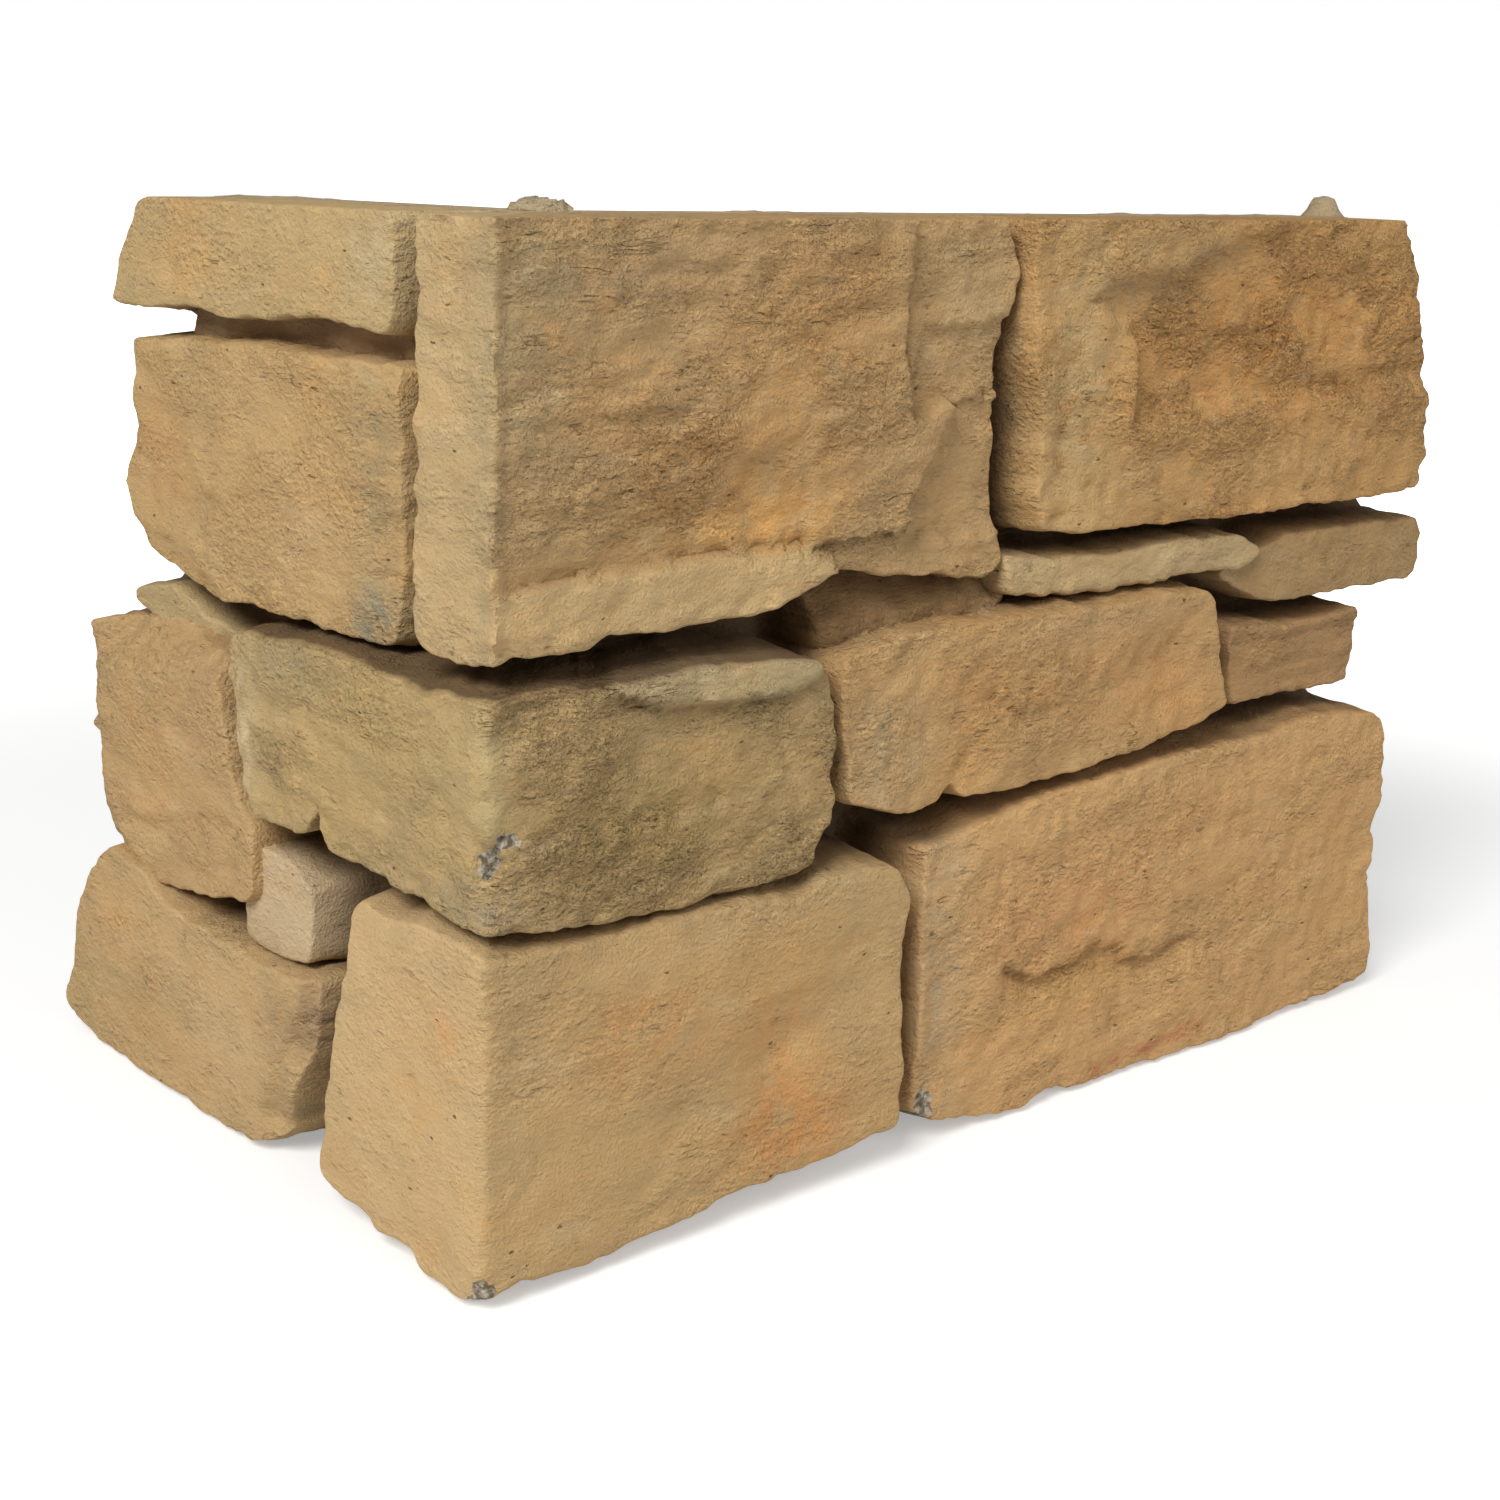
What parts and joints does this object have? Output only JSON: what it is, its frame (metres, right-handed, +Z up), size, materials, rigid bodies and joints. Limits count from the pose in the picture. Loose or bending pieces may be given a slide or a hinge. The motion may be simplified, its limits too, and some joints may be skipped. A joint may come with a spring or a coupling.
{
  "type": "stone cladding corner piece",
  "caption": "L-shaped cast stone cladding corner unit: thin flat-backed backing that turns a building's outside corner, faced with rough sandstone-like blocks in relief and deep dry joints.",
  "frame": {"origin": "inside corner at the bed, where the backs of the two returns meet on the plane that the unit stands on", "axes": "+Z up from the bed to the top; +X along the long return to its far end, with the stones facing -Y; +Y along the short return to its far end, with the stones facing -X"},
  "size_m": [0.3715, 0.2272, 0.255],
  "materials": {
    "cast_stone": "matt cast stone, pale tan with rust and grey-green patches"
  },
  "bodies": {
    "root": {"corner_piece": "cast_stone"}
  },
  "joints": []
}
